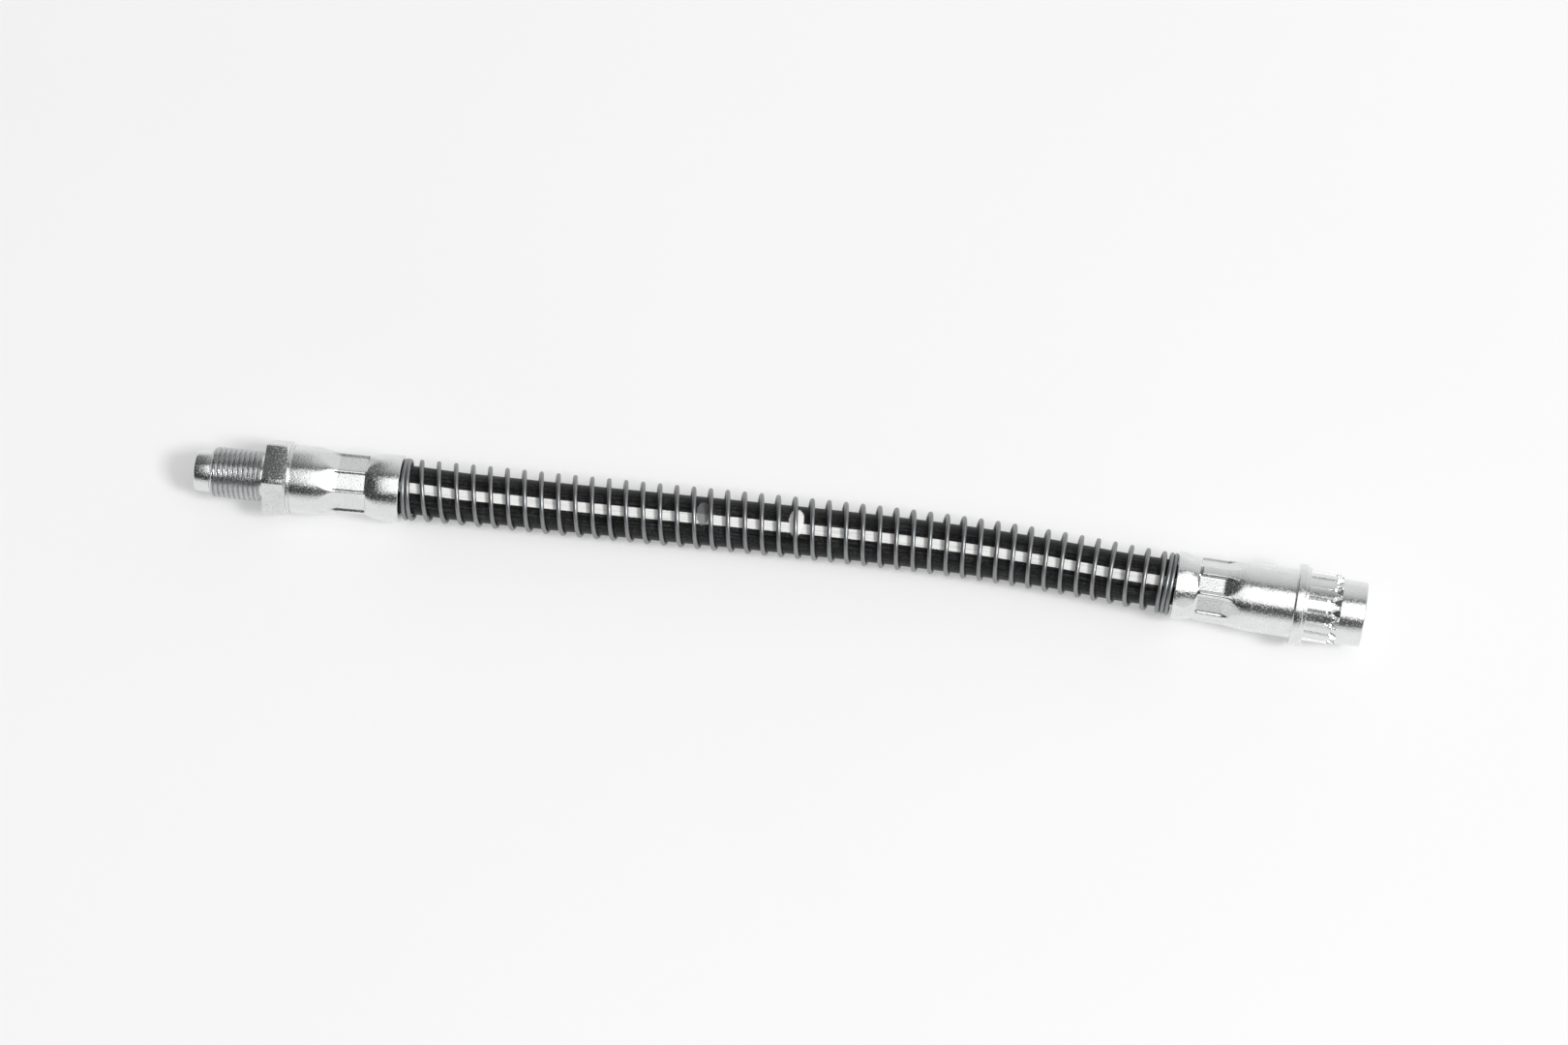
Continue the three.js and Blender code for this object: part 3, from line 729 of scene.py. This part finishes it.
femaleFitting = {
    "sides": 360,  # divides by 8 jaws and 18 teeth
    "mouth": 6.7, "bell": 5.9, "sleeve": 6.75, "collar": (23.3, 25.8), "collarRadius": 8.0,
    "collarStep": 7.55, "splines": (25.8, 32.2), "splineTip": 6.97, "splineRoot": 6.0, "splineCount": 18,
    "splineAngle": 19, "grooveHalf": 3.0, "runOut": 1.7, "runOutHalf": 7.2, "runOutRadius": 6.5,
    "barrel": 6.35, "length": 36.95, "port": 12.5, "portRoot": 5.06,
    "portCrest": 4.5, "coneFoot": 2.9, "coneTop": 1.7, "coneHeight": 1.6,
    "bore": 1.6, "socket": 18.2, "socketRadius": 5.2,
    "jaws": {
        **crimpTool, "crimp": 9.5, "blendEnd": 14.0, "square": 4.5, "curve": 1.25, "flare": 0.16,
        "flats": [(-37.2, -16, 10.5), (7.2, -10, 20), (52.8, -17.5, 17.5), (97.8, -8.5, 17), (143, -15, 15),
                  (188, -17, 12), (233, -15, 17), (278, -16, 15)],
    },
}


def makeFemaleFitting(fitting):
    angles = anglesRound(fitting["sides"])
    jaws = fitting["jaws"]
    sleeve, length = fitting["sleeve"], fitting["length"]
    (collarStart, collarEnd), rim = fitting["collar"], fitting["collarRadius"]

    line = denser(roundedOutline([
        (0.3, 5.3, 0), (0.0, 5.9, 0.15), (0.02, fitting["mouth"], 0.2), (2.4, fitting["mouth"] - 0.17, 2.3),
        (jaws["square"] - 0.1, fitting["bell"], 0.4),
        (jaws["square"] + 0.3, 6.28, 0.3), (jaws["crimp"], 6.34, 1.0), (jaws["blendEnd"], sleeve, 1.2),
        (collarStart - 0.25, sleeve, 0),
    ]), 0.3, jaws["blendEnd"] + 0.6, 0.24)
    x, radius = outlineRings(line, angles)
    zone = (x[:, 0] > 0.5) & (x[:, 0] < jaws["blendEnd"] + 0.6)
    radius[zone] = pressJaws(x[zone], radius[zone], angles, jaws)
    shell = x, radius

    collar = outlineRings(roundedOutline([
        (collarStart - 0.2, sleeve, 0), (collarStart, sleeve, 0.12), (collarStart, rim, 0.3),
        (collarEnd - 0.75, rim, 0.2), (collarEnd - 0.7, fitting["collarStep"], 0.1),
        (collarEnd, fitting["collarStep"], 0.2), (collarEnd, fitting["splineTip"] + 0.02, 0),
    ]), angles)

    # V grooves between the teeth; where they run out, a ramp widens and rises towards the free end
    start, end = fitting["splines"]
    rampStart = end - fitting["runOut"]
    line = denser([Vector((start + 0.01, 7)), Vector((rampStart, 7))], 0, 99, 1.2)[:-1]
    line += denser([Vector((rampStart, 7)), Vector((end, 7))], 0, 99, 0.12)
    x, radius = outlineRings(line, angles)
    fromGroove = np.degrees(np.abs(anglesFrom(
        angles, fitting["splineAngle"] + 180 / fitting["splineCount"], fitting["splineCount"])))[None, :]
    runOut = np.clip((x - rampStart) / fitting["runOut"], 0, 1)
    root, tip = fitting["splineRoot"], fitting["splineTip"]
    floor = root + (fitting["runOutRadius"] - root) * runOut
    flank = (tip - root) / fitting["grooveHalf"]
    groove = floor + np.clip(fromGroove - fitting["runOutHalf"] * np.sqrt(runOut), 0, None) * flank
    top = tip - np.clip(x - end + 0.5, 0, 0.5) / 0.5 * (tip - fitting["runOutRadius"])
    splines = x, np.minimum(groove, top)

    barrelRadius, portRoot = fitting["barrel"], fitting["portRoot"]
    barrel = outlineRings(roundedOutline([
        (end + 0.02, barrelRadius - 0.02, 0), (end + 0.3, barrelRadius, 0), (length, barrelRadius, 0.3),
        (length, portRoot + 0.35, 0.1), (length - 0.5, portRoot, 0),
    ]), angles)

    portBottom = length - fitting["port"]
    line = [Vector((length - 0.55, portRoot)), Vector((portBottom + 1.5, portRoot))]
    x, radius = outlineRings(denser(line, 0, 99, 1 / 6), angles)
    depth = portRoot - fitting["portCrest"]
    fade = np.clip(np.minimum(length - 0.5 - x, x - portBottom - 1.4) / 0.6, 0, 1)
    port = x, radius - fade * (depth - threadDepth(x, angles, depth))

    socket, socketRadius, bore = fitting["socket"], fitting["socketRadius"], fitting["bore"]
    crimped, insertRadius = insideEnd["crimpedSocket"], insideEnd["insertRadius"]
    insertEnd = socket + insideEnd["insertDepth"]
    coneTip = portBottom + fitting["coneHeight"]
    inside = outlineRings(roundedOutline([
        (portBottom + 1.4, portRoot, 0), (portBottom, portRoot, 0.2), (portBottom, fitting["coneFoot"], 0.1),
        (coneTip, fitting["coneTop"], 0.05), (coneTip, bore, 0),
        (insertEnd, bore, 0), (insertEnd, insertRadius, 0), (socket, insertRadius, 0),
        (socket, socketRadius, 0),
        (jaws["blendEnd"], socketRadius, 0.5), (jaws["crimp"], crimped, 0.5), (jaws["square"], crimped, 0.5),
        (jaws["square"] - 1.0, socketRadius, 0.5), (0.6, socketRadius, 0),
    ]), angles)
    piece = endPiece("femaleEndFitting", [
        (*shell, "pressed"), (*collar, "turned"), (*splines, "turned"), (*barrel, "turned"),
        (*port, "rolled"), (*inside, "turned"),
    ], angles, femaleMatrix)
    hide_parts("female_end_fitting")


makeFemaleFitting(femaleFitting)
print("female end made")


# Layers inside the hose and its inserts keep the model's own solids

# Braided polyester yarn: matt cream, two crossing directions
braidYarn = {"light": "#e2dccb", "shade": "#a49d8a", "yarn": 0.5}  # mm per yarn


def makeBraid(look):
    material, tree = newMaterial("braidedPolyesterYarn")
    place = addNode(tree, "ShaderNodeTexCoord")
    strands = []
    for turn in (45, -45):
        turned = addNode(tree, "ShaderNodeMapping", {
            "Vector": place.outputs["Object"], "Rotation": (0, 0, math.radians(turn)),
        })
        # a wave texture makes 20 / (2 pi) bands in each of its units
        strands.append(addNode(tree, "ShaderNodeTexWave", {
            "Vector": turned, "Scale": 2 * math.pi / (20 * look["yarn"] * mm), "Distortion": 0.4,
        }))
    weave = addNode(tree, "ShaderNodeMath", {0: strands[0].outputs["Fac"], 1: strands[1].outputs["Fac"]},
                    operation="MAXIMUM")
    colour = addNode(tree, "ShaderNodeMix", {
        "Factor": weave, "A": linearColour(look["shade"]), "B": linearColour(look["light"]),
    }, data_type="RGBA")
    bump = addNode(tree, "ShaderNodeBump", {"Height": weave, "Distance": 0.1 * mm, "Strength": 0.8})
    shader = addNode(tree, "ShaderNodeBsdfPrincipled", {
        "Base Color": colour.outputs["Result"], "Roughness": 0.85, "Normal": bump.outputs[0],
    })
    addNode(tree, "ShaderNodeOutputMaterial", {"Surface": shader.outputs[0]})
    return material


# Extruded rubber of the inner tube: matt black with a fine grain
def makeInnerRubber():
    material, tree = newMaterial("extrudedInnerRubber")
    place = addNode(tree, "ShaderNodeTexCoord")
    grain = addNode(tree, "ShaderNodeTexNoise", {
        "Vector": place.outputs["Object"], "Scale": 1 / (0.3 * mm), "Detail": 3.0,
    })
    colour = addNode(tree, "ShaderNodeMix", {
        "Factor": grain.outputs[0], "A": linearColour("#121213"), "B": linearColour("#262628"),
    }, data_type="RGBA")
    bump = addNode(tree, "ShaderNodeBump", {"Height": grain.outputs[0], "Distance": 0.01 * mm})
    shader = addNode(tree, "ShaderNodeBsdfPrincipled", {
        "Base Color": colour.outputs["Result"], "Roughness": 0.6, "IOR": 1.52, "Normal": bump.outputs[0],
    })
    addNode(tree, "ShaderNodeOutputMaterial", {"Surface": shader.outputs[0]})
    return material


def dressNode(name, material):
    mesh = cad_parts[name].data
    mesh.materials.clear()
    mesh.materials.append(material)


innerRubber = makeInnerRubber()
polyesterBraid = makeBraid(braidYarn)
for name in ("hose_inner_tube", "hose_middle_layer"):
    dressNode(name, innerRubber)
for name in ("hose_inner_braid", "hose_outer_braid"):
    dressNode(name, polyesterBraid)
for name in ("male_insert", "female_insert"):
    dressNode(name, zincTurnedSteel)
print("inner layers dressed")


# Table, softboxes and surroundings

# part of the white that the camera and the metal see is the board's own, so that shadows stay pale
table = {
    "radius": 1.6, "white": "#f7f7f7", "shade": "#f3f3f3",
    "cloudScale": 9.0,  # clouds of shade to the metre, about 110 mm each
    "own": 0.35, "ownWhite": 0.94,
}


def makeTable(look):
    material, tree = newMaterial("paintedBoard")
    place = addNode(tree, "ShaderNodeTexCoord")
    clouds = addNode(tree, "ShaderNodeTexNoise", {
        "Vector": place.outputs["Object"], "Scale": look["cloudScale"], "Detail": 3.0,
    })
    colour = addNode(tree, "ShaderNodeMix", {
        "Factor": clouds.outputs[0], "A": linearColour(look["white"]), "B": linearColour(look["shade"]),
    }, data_type="RGBA")
    shader = addNode(tree, "ShaderNodeBsdfPrincipled", {
        "Base Color": colour.outputs["Result"], "Roughness": 0.7, "Specular IOR Level": 0.1,
    })
    ray = addNode(tree, "ShaderNodeLightPath")
    seen = addNode(tree, "ShaderNodeMath", {0: ray.outputs["Is Camera Ray"], 1: ray.outputs["Is Glossy Ray"]},
                   operation="MAXIMUM")
    share = addNode(tree, "ShaderNodeMath", {0: seen, 1: look["own"]}, operation="MULTIPLY")
    glow = addNode(tree, "ShaderNodeEmission", {"Strength": look["ownWhite"]})
    surface = addNode(tree, "ShaderNodeMixShader", {0: share, 1: shader, 2: glow})
    addNode(tree, "ShaderNodeOutputMaterial", {"Surface": surface})
    mesh = bpy.data.meshes.new("tableTop")
    corners = [(look["radius"] * math.cos(a), look["radius"] * math.sin(a), 0)
               for a in np.linspace(0, 2 * math.pi, 64, endpoint=False)]
    mesh.from_pydata(corners, [], [tuple(range(64))])
    mesh.materials.append(material)
    top = bpy.data.objects.new("tableTop", mesh)
    scene.collection.objects.link(top)


makeTable(table)

# degrees to the right, and up from the front horizon over the top; the wide box gives the broad white
# bands on the metal, and the small one inside it gives the short highlights and the soft shadows
lamps = {
    "wideSoftbox": {
        "distance": 2.5, "toRight": 11.5, "overhead": 75, "width": 2.94, "depth": 2.55, "power": 27.2,
    },
    "keySoftbox": {
        "distance": 2.45, "toRight": 32, "overhead": 66, "width": 0.6, "depth": 0.6, "power": 37.0,
    },
}


def makeLamp(name, look):
    lamp = bpy.data.lights.new(name, "AREA")
    lamp.shape = "RECTANGLE"
    lamp.size, lamp.size_y = look["width"], look["depth"]
    lamp.energy = look["power"]
    box = bpy.data.objects.new(name, lamp)
    turn = math.radians(cameraView["turn"])
    right = Vector((math.cos(turn), math.sin(turn), 0))
    front = Vector((right.y, -right.x, 0))
    up, side = math.radians(look["overhead"]), math.radians(look["toRight"])
    ahead = front * math.cos(up) + Vector((0, 0, 1)) * math.sin(up)
    towards = right * math.sin(side) + ahead * math.cos(side)
    box.location = towards * look["distance"]
    zAxis = towards.normalized()
    yAxis = zAxis.cross(right).normalized()
    box.rotation_euler = Matrix((yAxis.cross(zAxis), yAxis, zAxis)).transposed().to_euler()
    box.visible_camera = False
    scene.collection.objects.link(box)


for name, look in lamps.items():
    makeLamp(name, look)

# the room round the table, by the angle up from the front horizon over the top to the back horizon:
# pale walls with dark gaps on both sides of the softbox, and a dark side on the left
room = {
    "bands": [(0, 0.8), (12, 0.75), (20, 0.2), (42, 0.15), (48, 0.3), (101, 0.3), (105, 0.12),
              (112, 0.26), (121, 0.48), (129, 0.6), (137, 0.68), (159, 0.8), (180, 0.85)],
    "leftBands": [(0, 0.8), (10, 0.7), (18, 0.06), (105, 0.05), (116, 0.13), (160, 0.16),
                  (167, 0.5), (180, 0.7)],
    "leftEdge": (-0.01, -0.2),  # where the dark side starts and is full, as a share of straight left
}


def makeRoom(look):
    world = bpy.data.worlds.new("studio")
    scene.world = world
    world.use_nodes = True
    tree = world.node_tree
    tree.nodes.clear()
    place = addNode(tree, "ShaderNodeTexCoord")
    turned = addNode(tree, "ShaderNodeMapping", {
        "Vector": place.outputs["Generated"], "Rotation": (0, 0, -math.radians(cameraView["turn"])),
    })
    way = addNode(tree, "ShaderNodeSeparateXYZ", {0: turned})
    forward = addNode(tree, "ShaderNodeMath", {0: way.outputs["Y"], 1: -1.0}, operation="MULTIPLY")
    angle = addNode(tree, "ShaderNodeMath", {0: way.outputs["Z"], 1: forward}, operation="ARCTAN2")
    share = addNode(tree, "ShaderNodeMath", {0: angle, 1: 1 / math.pi}, operation="MULTIPLY", use_clamp=True)
    levels = []
    for bands in (look["bands"], look["leftBands"]):
        ramp = addNode(tree, "ShaderNodeValToRGB", {"Fac": share})
        stops = ramp.color_ramp.elements
        stops.remove(stops[1])
        for i, (degrees, level) in enumerate(bands):
            stop = stops[0] if i == 0 else stops.new(degrees / 180)
            stop.position = degrees / 180
            stop.color = (level, level, level, 1)
        levels.append(ramp.outputs["Color"])
    left = addNode(tree, "ShaderNodeMapRange", {
        "Value": way.outputs["X"], "From Min": look["leftEdge"][0], "From Max": look["leftEdge"][1],
    })
    glow = addNode(tree, "ShaderNodeMix", {"Factor": left, "A": levels[0], "B": levels[1]}, data_type="RGBA")
    air = addNode(tree, "ShaderNodeBackground", {"Color": glow.outputs["Result"], "Strength": 1.0})
    addNode(tree, "ShaderNodeOutputWorld", {"Surface": air})


makeRoom(room)
print("table and light set")
